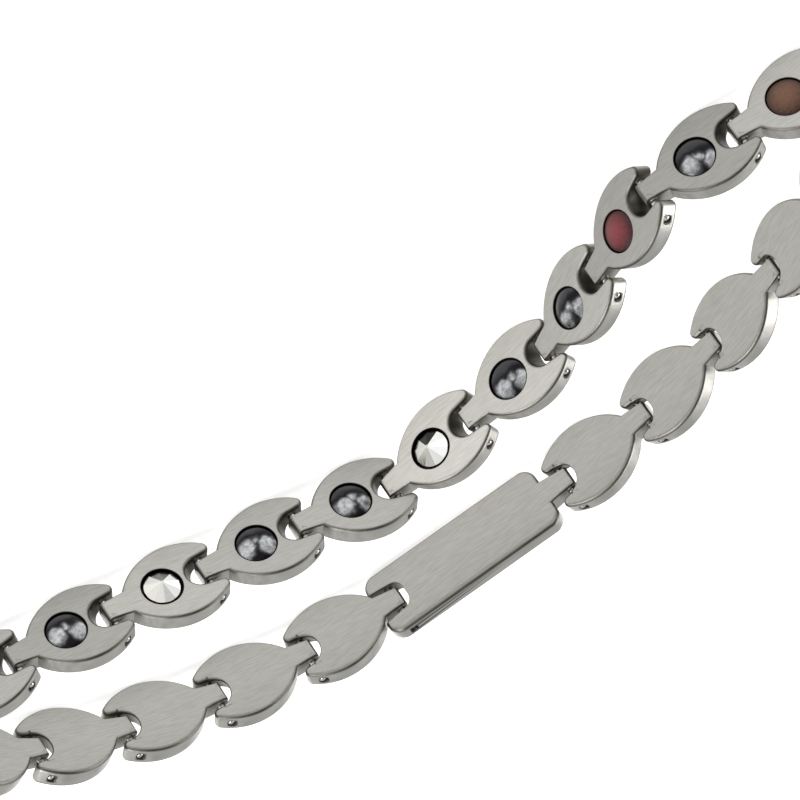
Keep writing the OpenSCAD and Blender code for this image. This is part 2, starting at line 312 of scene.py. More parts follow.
def clasp_outline():
    """A plain plate two links long with round corners, the links' tongue at one end and their notch at the other."""
    far_x = 2 * PITCH + SHOULDER_X - HORN_GAP
    half = CLASP_W / 2
    slope = (TONGUE_ROOT_W - TONGUE_END_W) / 2 / (SHOULDER_X + TONGUE_REACH)
    root_y = TONGUE_END_W / 2 + slope * (SHOULDER_X + TONGUE_REACH)
    c, edge = CLASP_CORNER_R, CLASP_EDGE_R
    notch_x = NOTCH_X + PITCH
    mouth_y = NOTCH_R + NOTCH_SLOPE * (far_x - notch_x)
    flank = [(far_x + (notch_x - far_x) * t, -mouth_y + (mouth_y - NOTCH_R) * t, CLASP_NOTCH_R)
             for t in (0, 0.3, 0.6, 0.85)]
    lower = ([(SHOULDER_X, -root_y - 0.3, edge)]
             + arc(SHOULDER_X + c, -half + c, c, 180, 270, CORNER_STEPS, edge)
             + arc(far_x - c, -half + c, c, 270, 360, CORNER_STEPS, edge)
             + [(far_x, -MOUTH_Y - 0.1, edge)] + flank)
    closed_end = arc(notch_x, 0, NOTCH_R, 270, 90, CLASP_NOTCH_STEPS, CLASP_NOTCH_R)
    # The upper side mirrors the lower one, and an edge's rounding goes to the point that it now leaves.
    roundings = [r for _, _, r in reversed(lower)][1:] + [edge]
    upper = [(x, -y, r) for (x, y, _), r in zip(reversed(lower), roundings)]
    return (tongue_outline(SHOULDER_X, root_y) + [(SHOULDER_X, -root_y, edge)] + lower
            + closed_end + [(notch_x, NOTCH_R, CLASP_NOTCH_R)] + upper)


# Solid meshes


def inset_at(r, depth):
    """How far an edge rounded by r stands back at this depth below the face."""
    return 0.0 if depth >= r else r - math.sqrt(r * r - (r - depth) ** 2)


def offset_outline(points, insets):
    """Moves each edge inwards by its own inset and meets neighbours where their lines cross."""
    n = len(points)
    normals = []
    for i in range(n):
        d = points[(i + 1) % n] - points[i]
        normals.append(Vector((-d.y, d.x)).normalized())
    out = []
    for i in range(n):
        a, b = normals[i - 1], normals[i]
        ca, cb = a.dot(points[i]) + insets[i - 1], b.dot(points[i]) + insets[i]
        det = a.x * b.y - a.y * b.x
        if abs(det) < NEARLY_STRAIGHT:
            out.append(points[i] + (a + b).normalized() * (insets[i - 1] + insets[i]) / 2)
        else:
            out.append(Vector(((ca * b.y - cb * a.y) / det, (a.x * cb - b.x * ca) / det)))
    return out


def notch_leans(points, notch_x):
    """How much further out each edge stands at the back than at the face: only the notch's closed end leans."""
    out = []
    for start, end in zip(points, points[1:] + points[:1]):
        away = (start + end) / 2 - Vector((notch_x, 0))
        at_end = away.x < 0 and away.length < NOTCH_R + ON_ARC
        out.append(-NOTCH_LEAN * away.x / NOTCH_R if at_end else 0.0)
    return out


def plate(name, outline, notch_x, pocket, bores):
    """A plate with rounded edges, an optional round pocket in its face and bored pin holes."""
    points = [Vector((x, y)) for x, y, _ in outline]
    roundings = [r for _, _, r in outline]
    leans = notch_leans(points, notch_x)
    bm = bmesh.new()
    rings = []
    levels = [(FACE_Z, [r + FLAT_BAND for r in roundings])]
    levels += [(FACE_Z - t, [inset_at(r, t) for r in roundings]) for t in DEPTHS]
    levels += [(-z, insets) for z, insets in reversed(levels)]
    for z, insets in levels:
        depth = (FACE_Z - z) / LINK_T
        ring = offset_outline(points, [inset - lean * depth for inset, lean in zip(insets, leans)])
        rings.append([bm.verts.new((p.x, p.y, z)) for p in ring])
    n = len(points)
    for upper, lower in zip(rings, rings[1:]):
        for i in range(n):
            bm.faces.new((lower[i], lower[(i + 1) % n], upper[(i + 1) % n], upper[i]))

    def loop_edges(ring):
        return [bm.edges.get((ring[i], ring[(i + 1) % len(ring)]))
                or bm.edges.new((ring[i], ring[(i + 1) % len(ring)])) for i in range(len(ring))]

    front = loop_edges(rings[0])
    if pocket:
        r = POCKET_D / 2
        k = POCKET_SIDES
        profile = [(r + RIM_EDGE_R + RIM_BAND, FACE_Z), (r + RIM_EDGE_R, FACE_Z),
                   (r + 0.3 * RIM_EDGE_R, FACE_Z - 0.3 * RIM_EDGE_R), (r, FACE_Z - RIM_EDGE_R),
                   (r, FACE_Z - 0.5), (r, FACE_Z - POCKET_DEPTH)]
        circles = [[bm.verts.new((POCKET_X + q * math.cos(2 * math.pi * i / k),
                                  q * math.sin(2 * math.pi * i / k), z)) for i in range(k)] for q, z in profile]
        for outer, inner in zip(circles, circles[1:]):
            for i in range(k):
                bm.faces.new((outer[i], outer[(i + 1) % k], inner[(i + 1) % k], inner[i]))
        bm.faces.new(circles[-1])
        front += loop_edges(circles[0])
    bmesh.ops.triangle_fill(bm, use_beauty=True, use_dissolve=False, edges=front)
    bmesh.ops.triangle_fill(bm, use_beauty=True, use_dissolve=False, edges=loop_edges(rings[-1]))
    bmesh.ops.remove_doubles(bm, verts=bm.verts, dist=MERGE_GAP)
    bmesh.ops.recalc_face_normals(bm, faces=bm.faces)
    mesh = bpy.data.meshes.new(name)
    bm.to_mesh(mesh)
    bm.free()
    obj = new_object(name, mesh)

    cutters = []
    for x in bores:
        bm = bmesh.new()
        bmesh.ops.create_cone(bm, cap_ends=True, segments=BORE_SIDES, radius1=PIN_D / 2 + PIN_GAP,
                              radius2=PIN_D / 2 + PIN_GAP, depth=LINK_W + 2,
                              matrix=Matrix.Translation((x, 0, 0)) @ Matrix.Rotation(math.radians(90), 4, "X"))
        cutter_mesh = bpy.data.meshes.new("cutter")
        bm.to_mesh(cutter_mesh)
        bm.free()
        cutters.append(new_object("cutter", cutter_mesh))
        cut = obj.modifiers.new("bore", "BOOLEAN")
        cut.operation = "DIFFERENCE"
        cut.solver = "EXACT"
        cut.object = cutters[-1]
    finished = evaluated_mesh(obj, name)
    for o in cutters + [obj]:
        bpy.data.objects.remove(o)
    return finished


def evaluated_mesh(obj, name):
    """The object's mesh with its modifiers applied."""
    graph = bpy.context.evaluated_depsgraph_get()
    mesh = bpy.data.meshes.new_from_object(obj.evaluated_get(graph), depsgraph=graph)
    mesh.name = name
    return mesh


def turned_solid(name, profile, sides, x=0.0, axis="Z"):
    """A solid of revolution from (radius, height) pairs, bottom to top, closed at both ends."""
    bm = bmesh.new()
    rings = []
    for r, z in profile:
        if r < 1e-6:
            rings.append([bm.verts.new((x, 0, z))])
        else:
            rings.append([bm.verts.new((x + r * math.cos(2 * math.pi * i / sides),
                                        r * math.sin(2 * math.pi * i / sides), z)) for i in range(sides)])
    for low, high in zip(rings, rings[1:]):
        for i in range(sides):
            j = (i + 1) % sides
            if len(low) == 1:
                bm.faces.new((low[0], high[j], high[i]))
            elif len(high) == 1:
                bm.faces.new((low[i], low[j], high[0]))
            else:
                bm.faces.new((low[i], low[j], high[j], high[i]))
    if len(rings[0]) > 1:
        bm.faces.new(rings[0][::-1])
    if len(rings[-1]) > 1:
        bm.faces.new(rings[-1])
    if axis == "Y":
        bmesh.ops.rotate(bm, verts=bm.verts, matrix=Matrix.Rotation(math.radians(90), 3, "X"))
    mesh = bpy.data.meshes.new(name)
    bm.to_mesh(mesh)
    bm.free()
    return mesh


def dome_mesh():
    """A low dome on a short cylinder, which fills the pocket but for a thin ring."""
    r = POCKET_D / 2 - DOME_GAP
    h = DOME_RISE + RIM_DROP
    ball = (r * r + h * h) / (2 * h)
    top = FACE_Z + DOME_RISE
    rim = math.asin(r / ball)
    floor = FACE_Z - POCKET_DEPTH + SEAT_GAP
    profile = [(r, floor), (r, FACE_Z - RIM_DROP - RIM_BAND)]
    for i in range(CROWN_STEPS + 1):
        a = rim * (1 - i / CROWN_STEPS)
        profile.append((ball * math.sin(a) if i < CROWN_STEPS else 0, top - ball + ball * math.cos(a)))
    return turned_solid("dome", profile, POCKET_SIDES, POCKET_X)


def stone_mesh():
    """A round blank with flat facets cut up to a small table, so its lower edge is slightly scalloped."""
    r = POCKET_D / 2 - STONE_GAP
    floor = FACE_Z - POCKET_DEPTH + SEAT_GAP
    rim = FACE_Z - RIM_DROP
    step = 2 * math.pi / STONE_FACETS
    fall = (FACE_Z + STONE_RISE - rim) / ((r - TABLE_W / 2) * math.cos(step / 2))
    parts = FACET_STEPS
    bm = bmesh.new()
    low, edge, table = [], [], []
    for k in range(STONE_FACETS):
        a = k * step
        table.append(bm.verts.new((POCKET_X + TABLE_W / 2 * math.cos(a), TABLE_W / 2 * math.sin(a),
                                   FACE_Z + STONE_RISE)))
        for j in range(parts):
            t = a + step * j / parts
            x, y = POCKET_X + r * math.cos(t), r * math.sin(t)
            drop = fall * r * (math.cos(t - a - step / 2) - math.cos(step / 2))
            edge.append(bm.verts.new((x, y, rim - drop)))
            low.append(bm.verts.new((x, y, floor)))
    n = len(edge)
    for k in range(STONE_FACETS):
        border = [edge[(k * parts + j) % n] for j in range(parts + 1)]
        bm.faces.new(border + [table[(k + 1) % STONE_FACETS], table[k]])
    for i in range(n):
        bm.faces.new((low[i], low[(i + 1) % n], edge[(i + 1) % n], edge[i]))
    bm.faces.new(low[::-1])
    bm.faces.new(table)
    mesh = bpy.data.meshes.new("stone")
    bm.to_mesh(mesh)
    bm.free()
    tone = mesh.attributes.new("facet", "FLOAT", "FACE")
    for face in mesh.polygons:
        turn = math.atan2(face.center.y, face.center.x - POCKET_X) % (2 * math.pi)
        tone.data[face.index].value = math.floor(turn / step) + 0.5
    return mesh


def pin_mesh():
    """A wire pin. Its domed ends are turned down a little, which leaves a dark ring round them in the bore."""
    half = math.sqrt(EDGE_R ** 2 - (PITCH - BELLY_X) ** 2) - EDGE_Y - PIN_RECESS
    r = PIN_D / 2 - PIN_NECK
    ball = (r ** 2 + PIN_DOME ** 2) / (2 * PIN_DOME)
    rim = math.asin(r / ball)
    cap = [(PIN_D / 2, half - PIN_DOME - NECK_FOOT), (r, half - PIN_DOME - NECK_TOP)]
    for i in range(PIN_DOME_STEPS + 1):
        a = rim * (1 - i / PIN_DOME_STEPS)
        cap.append((ball * math.sin(a) if i < PIN_DOME_STEPS else 0, half - ball + ball * math.cos(a)))
    profile = [(q, -z) for q, z in reversed(cap)] + cap
    return turned_solid("pin", profile, PIN_SIDES, 0, "Y")


def finish_mesh(mesh, sharp_degrees):
    """Smooth shading with sharp edges where faces turn quickly, and each point's own place kept."""
    bm = bmesh.new()
    bm.from_mesh(mesh)
    bm.normal_update()
    for face in bm.faces:
        face.smooth = True
    for edge in bm.edges:
        edge.smooth = len(edge.link_faces) == 2 and edge.calc_face_angle(0) < math.radians(sharp_degrees)
    bm.to_mesh(mesh)
    place = mesh.attributes.new("own_place", "FLOAT_VECTOR", "POINT")
    facing = mesh.attributes.new("own_facing", "FLOAT_VECTOR", "POINT")
    for vert in bm.verts:
        place.data[vert.index].vector = vert.co
        facing.data[vert.index].vector = vert.normal
    bm.free()
    mesh.transform(Matrix.Scale(MM, 4))
    return mesh


# Geometry nodes: one piece set into every place of the loop that takes it


def loop_tree():
    """The tree sets its Piece on each point, turned by the point's own turn about the pins, with its Finish."""
    tree = bpy.data.node_groups.new("Pieces round the loop", "GeometryNodeTree")
    face = tree.interface
    face.new_socket("Geometry", in_out="INPUT", socket_type="NodeSocketGeometry")
    face.new_socket("Piece", in_out="INPUT", socket_type="NodeSocketObject")
    face.new_socket("Finish", in_out="INPUT", socket_type="NodeSocketMaterial")
    face.new_socket("Tip to the edge", in_out="INPUT", socket_type="NodeSocketFloat")
    face.new_socket("Geometry", in_out="OUTPUT", socket_type="NodeSocketGeometry")
    source = add(tree, "NodeGroupInput")
    turn = add(tree, "GeometryNodeInputNamedAttribute", {"Name": "turn"}, data_type="FLOAT")
    lean = add(tree, "ShaderNodeCombineXYZ", {
        "X": source.outputs["Tip to the edge"], "Z": turn.outputs["Attribute"]}).outputs["Vector"]
    piece = add(tree, "GeometryNodeObjectInfo", {"Object": source.outputs["Piece"]}, transform_space="ORIGINAL")
    placed = add(tree, "GeometryNodeInstanceOnPoints", {
        "Points": source.outputs["Geometry"], "Instance": piece.outputs["Geometry"], "Rotation": lean})
    real = add(tree, "GeometryNodeRealizeInstances", {"Geometry": placed.outputs["Instances"]})
    painted = add(tree, "GeometryNodeSetMaterial", {
        "Geometry": real.outputs["Geometry"], "Material": source.outputs["Finish"]})
    add(tree, "NodeGroupOutput", {"Geometry": painted.outputs["Geometry"]})
    return tree


LOOP = loop_tree()


def set_round_loop(name, mesh, places, finish):
    """Sets mesh, drawn with its face up and its tongue pin at the origin, at these places of the loop."""
    source = new_object(name + "_source", mesh)
    points = bpy.data.meshes.new(name + "_points")
    points.from_pydata([(pins[i].x * MM, pins[i].y * MM, LINK_W / 2 * MM) for i in places], [], [])
    turn = points.attributes.new("turn", "FLOAT", "POINT")
    number = points.attributes.new("piece_number", "FLOAT", "POINT")
    for k, i in enumerate(places):
        turn.data[k].value = math.radians(headings[i] + 180)
        number.data[k].value = float(i)
    carrier = new_object(name + "_carrier", points)
    modifier = carrier.modifiers.new("loop", "NODES")
    modifier.node_group = LOOP
    sockets = {item.name: item.identifier for item in LOOP.interface.items_tree if item.in_out == "INPUT"}
    modifier[sockets["Piece"]] = source
    modifier[sockets["Finish"]] = finish
    modifier[sockets["Tip to the edge"]] = math.radians(-90)
    carrier.update_tag()
    bpy.context.view_layer.update()
    result = new_object(name, evaluated_mesh(carrier, name))
    bpy.data.objects.remove(carrier)
    bpy.data.objects.remove(source)
    return result


# Materials


def material(name):
    """An empty material and its tree of nodes."""
    mat = bpy.data.materials.new(name)
    mat.use_nodes = True
    mat.node_tree.nodes.clear()
    return mat, mat.node_tree


def satin_steel():
    """Stainless steel 304, brushed lengthwise with a fine belt and then tumbled: a soft warm grey face with short
    fine scratches, with painted shade on the shoulders, in the notch and in the pocket, and painted light and shade
    on each face."""
    mat, tree = material("Satin stainless steel")
    place = add(tree, "ShaderNodeAttribute", attribute_name="own_place").outputs["Vector"]
    facing = add(tree, "ShaderNodeAttribute", attribute_name="own_facing").outputs["Vector"]
    number = add(tree, "ShaderNodeAttribute", attribute_name="piece_number").outputs["Fac"]
    # Scratches are about 0.1 mm apart and 1.3 mm long, a little coarser than real ones, so that they show.
    brushed = add(tree, "ShaderNodeMapping", {
        "Vector": place, "Rotation": (0, 0, math.radians(5)), "Scale": (0.8, 12.0, 3.0)}).outputs["Vector"]
    each = add(tree, "ShaderNodeCombineXYZ", {"Z": number}).outputs["Vector"]
    moved = add(tree, "ShaderNodeVectorMath", {0: brushed, 1: each}, operation="ADD").outputs["Vector"]
    grain = add(tree, "ShaderNodeTexNoise", {
        "Vector": moved, "Scale": 1.0, "Detail": 4.0, "Roughness": 0.6}).outputs["Fac"]
    pits = add(tree, "ShaderNodeTexNoise", {
        "Vector": place, "Scale": 8.0, "Detail": 3.0, "Roughness": 0.7}).outputs["Fac"]
    cloud = add(tree, "ShaderNodeTexNoise", {"Vector": moved, "Scale": 0.25, "Detail": 2.0}).outputs["Fac"]
    at = add(tree, "ShaderNodeSeparateXYZ", {"Vector": place})
    # Each link's face is painted lighter or darker by its own tone, a painted light and shade.
    order = add(tree, "ShaderNodeMath", {0: number, 1: float(len(CARRIED))}, operation="DIVIDE").outputs["Value"]
    painted_link_light = add(tree, "ShaderNodeValToRGB", {"Fac": order}, stops=[
        (i / len(CARRIED), code) for i, code in enumerate(LINK_LIGHT_TONES)]).outputs["Color"]
    # 1 on the face and 0 on the walls.
    out_of_plate = add(tree, "ShaderNodeSeparateXYZ", {"Vector": facing}).outputs["Z"]
    flat = add(tree, "ShaderNodeMath", {0: out_of_plate}, operation="ABSOLUTE").outputs["Value"]
    on_face = add(tree, "ShaderNodeMapRange", {
        "Value": flat, "From Min": 0.1, "From Max": 0.8}, interpolation_type="SMOOTHSTEP").outputs["Result"]
    face = add(tree, "ShaderNodeValToRGB", {"Fac": grain}, stops=[
        (0.3, "#adaba5"), (0.7, "#c6c4be")]).outputs["Color"]
    wall = add(tree, "ShaderNodeValToRGB", {"Fac": cloud}, stops=[
        (0.35, "#b3b1ab"), (0.65, "#c5c3bd")]).outputs["Color"]
    # Painted shade: the notch's walls are painted darker. The notch lies past x = 6.5 mm and within 2 mm of the
    # middle line.
    past = add(tree, "ShaderNodeMapRange", {
        "Value": at.outputs["X"], "From Min": 6.3, "From Max": 6.6}).outputs["Result"]
    aside = add(tree, "ShaderNodeMath", {0: at.outputs["Y"]}, operation="ABSOLUTE").outputs["Value"]
    within = add(tree, "ShaderNodeMapRange", {
        "Value": aside, "From Min": 1.7, "From Max": 2.2, "To Min": 1.0, "To Max": 0.0}).outputs["Result"]
    in_notch = add(tree, "ShaderNodeMath", {0: past, 1: within}, operation="MULTIPLY").outputs["Value"]
    # Painted shade: the pocket's wall below the face is painted near black. The pocket is the well of 1.72 mm radius
    # round x = 4.6 mm.
    round_pocket = add(tree, "ShaderNodeVectorMath", {0: place, 1: (POCKET_X, 0, FACE_Z - POCKET_DEPTH / 2)},
                       operation="DISTANCE").outputs["Value"]
    near = add(tree, "ShaderNodeMapRange", {
        "Value": round_pocket, "From Min": 1.83, "From Max": 1.87, "To Min": 1.0, "To Max": 0.0}).outputs["Result"]
    below_face = add(tree, "ShaderNodeMapRange", {
        "Value": at.outputs["Z"], "From Min": FACE_Z - 0.1, "From Max": FACE_Z - 0.04, "To Min": 1.0, "To Max": 0.0}
        ).outputs["Result"]
    above_back = add(tree, "ShaderNodeMath", {0: at.outputs["Z"], 1: -0.5}, operation="GREATER_THAN").outputs["Value"]
    deep = add(tree, "ShaderNodeMath", {0: below_face, 1: above_back}, operation="MULTIPLY").outputs["Value"]
    in_pocket = add(tree, "ShaderNodeMath", {0: near, 1: deep}, operation="MULTIPLY").outputs["Value"]
    face_and_light = add(tree, "ShaderNodeMix", {"Factor": 1.0, MIX_A: face, MIX_B: painted_link_light}, data_type="RGBA",
                   blend_type="MULTIPLY").outputs[MIXED]
    wall_with_notch_shade = add(tree, "ShaderNodeMix", {"Factor": in_notch, MIX_A: wall, MIX_B: linear("#77756c")},
                     data_type="RGBA").outputs[MIXED]
    plate_tone = add(tree, "ShaderNodeMix", {"Factor": on_face, MIX_A: wall_with_notch_shade, MIX_B: face_and_light},
                     data_type="RGBA").outputs[MIXED]
    # Painted shade: the rounded shoulders are painted darker than the face and the walls, a soft dark band along the
    # edges.
    shoulder_shade = add(tree, "ShaderNodeValToRGB", {"Fac": flat}, stops=[
        (0.05, "#ffffff"), (0.36, "#a5a4a1"), (0.6, "#929190"), (0.82, "#d2d1ce"), (0.93, "#ffffff")]
        ).outputs["Color"]
    shoulder_shaded = add(tree, "ShaderNodeMix", {"Factor": 1.0, MIX_A: plate_tone, MIX_B: shoulder_shade}, data_type="RGBA",
                 blend_type="MULTIPLY").outputs[MIXED]
    colour = add(tree, "ShaderNodeMix", {"Factor": in_pocket, MIX_A: shoulder_shaded, MIX_B: linear("#2e2d2b")},
                 data_type="RGBA").outputs[MIXED]
    rough = add(tree, "ShaderNodeMapRange", {
        "Value": grain, "From Min": 0.3, "From Max": 0.7, "To Min": 0.34, "To Max": 0.44}).outputs["Result"]
    height = add(tree, "ShaderNodeMath", {0: grain, 1: pits}, operation="ADD").outputs["Value"]
    bump = add(tree, "ShaderNodeBump", {"Height": height, "Strength": 0.3, "Distance": 0.00002}).outputs["Normal"]
    steel = add(tree, "ShaderNodeBsdfPrincipled", {
        "Base Color": colour, "Metallic": 1.0, "Roughness": rough, "Normal": bump}).outputs["BSDF"]
    add(tree, "ShaderNodeOutputMaterial", {"Surface": steel})
    return mat


def pin_steel():
    """Turned stainless wire, cut and domed: brighter than the links, with turning marks and a dull neck."""
    mat, tree = material("Turned steel wire")
    place = add(tree, "ShaderNodeAttribute", attribute_name="own_place").outputs["Vector"]
    marks = add(tree, "ShaderNodeTexNoise", {"Vector": place, "Scale": 6.0, "Detail": 3.0}).outputs["Fac"]
    tone = add(tree, "ShaderNodeValToRGB", {"Fac": marks}, stops=[
        (0.35, "#b5b4b0"), (0.65, "#f0efec")]).outputs["Color"]
    rough = add(tree, "ShaderNodeMapRange", {
        "Value": marks, "From Min": 0.3, "From Max": 0.7, "To Min": 0.14, "To Max": 0.3}).outputs["Result"]
    bump = add(tree, "ShaderNodeBump", {"Height": marks, "Strength": 0.5, "Distance": 0.00003}).outputs["Normal"]
    steel = add(tree, "ShaderNodeBsdfPrincipled", {
        "Base Color": tone, "Metallic": 1.0, "Roughness": rough, "Normal": bump}).outputs["BSDF"]
    add(tree, "ShaderNodeOutputMaterial", {"Surface": steel})
    return mat


def dark_magnet():
    """Polished magnetic hematite: near black with a metal lustre. Its few broad, clouded lighter patches are
    painted reflections, slightly crackled by a noise that also roughens the polish."""
    mat, tree = material("Polished black hematite")
    place = add(tree, "ShaderNodeAttribute", attribute_name="own_place").outputs["Vector"]
    number = add(tree, "ShaderNodeAttribute", attribute_name="piece_number").outputs["Fac"]
    each = add(tree, "ShaderNodeCombineXYZ", {"Z": number}).outputs["Vector"]
    moved = add(tree, "ShaderNodeVectorMath", {0: place, 1: each}, operation="ADD").outputs["Vector"]
    drift = add(tree, "ShaderNodeTexNoise", {"Vector": moved, "Scale": 0.9, "Detail": 2.0}).outputs["Color"]
    # The painted reflections' edges wander by about 0.3 mm, each dome's in its own way, and from the fifth link on
    # they lie lower.
    wander = add(tree, "ShaderNodeVectorMath", {0: drift, 1: (PATCH_WANDER, PATCH_WANDER, 0.0), 2: place},
                 operation="MULTIPLY_ADD").outputs["Vector"]
    fall = add(tree, "ShaderNodeMapRange", {
        "Value": number, "From Min": 3.0, "From Max": 6.0, "To Min": 0.0, "To Max": 0.35}).outputs["Result"]
    lower = add(tree, "ShaderNodeVectorMath", {0: (-0.7, 1.0, 0.0), "Scale": fall},
                operation="SCALE").outputs["Vector"]
    wandering = add(tree, "ShaderNodeVectorMath", {0: wander, 1: lower}, operation="ADD").outputs["Vector"]
    reflections = None
    for x, y, r in REFLECTION_PATCHES:
        middle = (POCKET_X + x + PATCH_WANDER / 2, y + PATCH_WANDER / 2, PATCH_HEIGHT)
        away = add(tree, "ShaderNodeVectorMath", {0: wandering, 1: middle}, operation="DISTANCE").outputs["Value"]
        reflection = add(tree, "ShaderNodeMapRange", {
            "Value": away, "From Min": r - 0.4, "From Max": r + 0.12, "To Min": 1.0, "To Max": 0.0},
            interpolation_type="SMOOTHSTEP").outputs["Result"]
        reflections = reflection if reflections is None else add(
            tree, "ShaderNodeMath", {0: reflections, 1: reflection}, operation="MAXIMUM").outputs["Value"]
    crackle = add(tree, "ShaderNodeTexNoise", {
        "Vector": moved, "Scale": 2.4, "Detail": 5.0, "Roughness": 0.7}).outputs["Fac"]
    clouded = add(tree, "ShaderNodeMapRange", {
        "Value": crackle, "From Min": 0.3, "From Max": 0.7, "To Min": 0.66, "To Max": 1.0}).outputs["Result"]
    mixed = add(tree, "ShaderNodeMath", {0: reflections, 1: clouded}, operation="MULTIPLY").outputs["Value"]
    # Painted reflection: the upper third is painted a paler black than the middle.
    height = add(tree, "ShaderNodeSeparateXYZ", {"Vector": wandering}).outputs["Y"]
    upper = add(tree, "ShaderNodeMapRange", {
        "Value": height, "From Min": 1.15, "From Max": 1.75, "To Min": 0.0, "To Max": 0.3},
        interpolation_type="SMOOTHSTEP").outputs["Result"]
    shade = add(tree, "ShaderNodeMath", {0: mixed, 1: upper}, operation="MAXIMUM").outputs["Value"]
    tone = add(tree, "ShaderNodeValToRGB", {"Fac": shade}, stops=[
        (0.0, "#1e1e20"), (0.35, "#434345"), (0.7, "#787a7b"), (1.0, "#babbbc")]).outputs["Color"]
    rough = add(tree, "ShaderNodeMapRange", {
        "Value": crackle, "From Min": 0.3, "From Max": 0.7, "To Min": 0.1, "To Max": 0.24}).outputs["Result"]
    bump = add(tree, "ShaderNodeBump", {"Height": crackle, "Strength": 0.2, "Distance": 0.00004}).outputs["Normal"]
    stone = add(tree, "ShaderNodeBsdfPrincipled", {
        "Base Color": tone, "Metallic": 1.0, "Roughness": rough, "Normal": bump}).outputs["BSDF"]
    add(tree, "ShaderNodeOutputMaterial", {"Surface": stone})
    return mat


def bright_facets():
    """Faceted germanium, polished to a mirror. Its facets are painted in slightly different silver white tones,
    with two dark ones side by side: all painted reflections."""
    mat, tree = material("Polished germanium facets")
    place = add(tree, "ShaderNodeAttribute", attribute_name="own_place").outputs["Vector"]
    facet = add(tree, "ShaderNodeAttribute", attribute_name="facet").outputs["Fac"]
    number = add(tree, "ShaderNodeAttribute", attribute_name="piece_number").outputs["Fac"]
    haze = add(tree, "ShaderNodeTexNoise", {"Vector": place, "Scale": 4.0, "Detail": 3.0}).outputs["Fac"]
    step = add(tree, "ShaderNodeMath", {0: facet, 1: float(STONE_FACETS)}, operation="DIVIDE").outputs["Value"]
    tones = add(tree, "ShaderNodeValToRGB", {"Fac": step}, stops=[
        (i / STONE_FACETS, code) for i, code in enumerate(FACET_REFLECTIONS)])
    tones.color_ramp.interpolation = "CONSTANT"
    # 1 on the two facets painted dark as a reflection, which are paler in the loop's first stone.
    low = add(tree, "ShaderNodeMath", {0: facet, 1: 1.0}, operation="GREATER_THAN").outputs["Value"]
    high = add(tree, "ShaderNodeMath", {0: facet, 1: 3.0}, operation="LESS_THAN").outputs["Value"]
    dark = add(tree, "ShaderNodeMath", {0: low, 1: high}, operation="MULTIPLY").outputs["Value"]
    shade = add(tree, "ShaderNodeMapRange", {"Value": number, "From Min": 2.0, "From Max": 5.0}).outputs["Result"]
    darker = add(tree, "ShaderNodeMath", {0: dark, 1: shade}, operation="MULTIPLY").outputs["Value"]
    tone = add(tree, "ShaderNodeMix", {"Factor": darker, MIX_A: tones.outputs["Color"], MIX_B: linear("#2b2b2a")},
               data_type="RGBA").outputs[MIXED]
    rough = add(tree, "ShaderNodeMapRange", {
        "Value": haze, "From Min": 0.3, "From Max": 0.7, "To Min": 0.1, "To Max": 0.22}).outputs["Result"]
    bump = add(tree, "ShaderNodeBump", {"Height": haze, "Strength": 0.06, "Distance": 0.00003}).outputs["Normal"]
    metal = add(tree, "ShaderNodeBsdfPrincipled", {
        "Base Color": tone, "Metallic": 1.0, "Roughness": rough, "Normal": bump}).outputs["BSDF"]
    add(tree, "ShaderNodeOutputMaterial", {"Surface": metal})
    return mat


def ceramic(name, dark, light):
    """Matt pressed and sintered ceramic pellet: fine speckle, soft sheen, and a painted highlight and shade that make
    it lighter on its crown and darker towards its rim.
    """
    mat, tree = material(name)
    place = add(tree, "ShaderNodeAttribute", attribute_name="own_place").outputs["Vector"]
    facing = add(tree, "ShaderNodeAttribute", attribute_name="own_facing").outputs["Vector"]
    speckle = add(tree, "ShaderNodeTexNoise", {
        "Vector": place, "Scale": 5.0, "Detail": 5.0, "Roughness": 0.75}).outputs["Fac"]
    out_of_plate = add(tree, "ShaderNodeSeparateXYZ", {"Vector": facing}).outputs["Z"]
    # Painted highlight and shade: lighter towards the crown, darker towards the rim.
    crown_highlight = add(tree, "ShaderNodeMapRange", {
        "Value": out_of_plate, "From Min": 0.86, "From Max": 1.0, "To Min": -0.25, "To Max": 0.3}).outputs["Result"]
    mixed = add(tree, "ShaderNodeMath", {0: speckle, 1: crown_highlight}, operation="ADD").outputs["Value"]
    tone = add(tree, "ShaderNodeValToRGB", {"Fac": mixed}, stops=[(0.25, dark), (0.85, light)]).outputs["Color"]
    rough = add(tree, "ShaderNodeMapRange", {
        "Value": speckle, "From Min": 0.3, "From Max": 0.7, "To Min": 0.4, "To Max": 0.58}).outputs["Result"]
    bump = add(tree, "ShaderNodeBump", {"Height": speckle, "Strength": 0.3, "Distance": 0.00003}).outputs["Normal"]
    body = add(tree, "ShaderNodeBsdfPrincipled", {
        "Base Color": tone, "Roughness": rough, "Specular IOR Level": 0.3, "Normal": bump}).outputs["BSDF"]
    add(tree, "ShaderNodeOutputMaterial", {"Surface": body})
    return mat


def table_top():
    """A sheet of opal acrylic, matt and lit a little from below, so that shadows on it stay pale."""
    mat, tree = material("Opal acrylic table")
    coords = add(tree, "ShaderNodeTexCoord").outputs["Object"]
    noise = add(tree, "ShaderNodeTexNoise", {"Vector": coords, "Scale": 60.0}).outputs["Fac"]
    tone = add(tree, "ShaderNodeValToRGB", {"Fac": noise}, stops=[
        (0.3, "#e6e6e6"), (0.7, "#eaeaea")]).outputs["Color"]
    body = add(tree, "ShaderNodeBsdfPrincipled", {
        "Base Color": tone, "Roughness": 0.85, "Specular IOR Level": 0.1,
        "Emission Color": linear("#ffffff"), "Emission Strength": 0.6}).outputs["BSDF"]
    add(tree, "ShaderNodeOutputMaterial", {"Surface": body})
    return mat


# The bracelet

FULL_NAME = {"dark": "dark_dome", "stone": "bright_stone", "red": "red_dome", "brown": "brown_dome"}


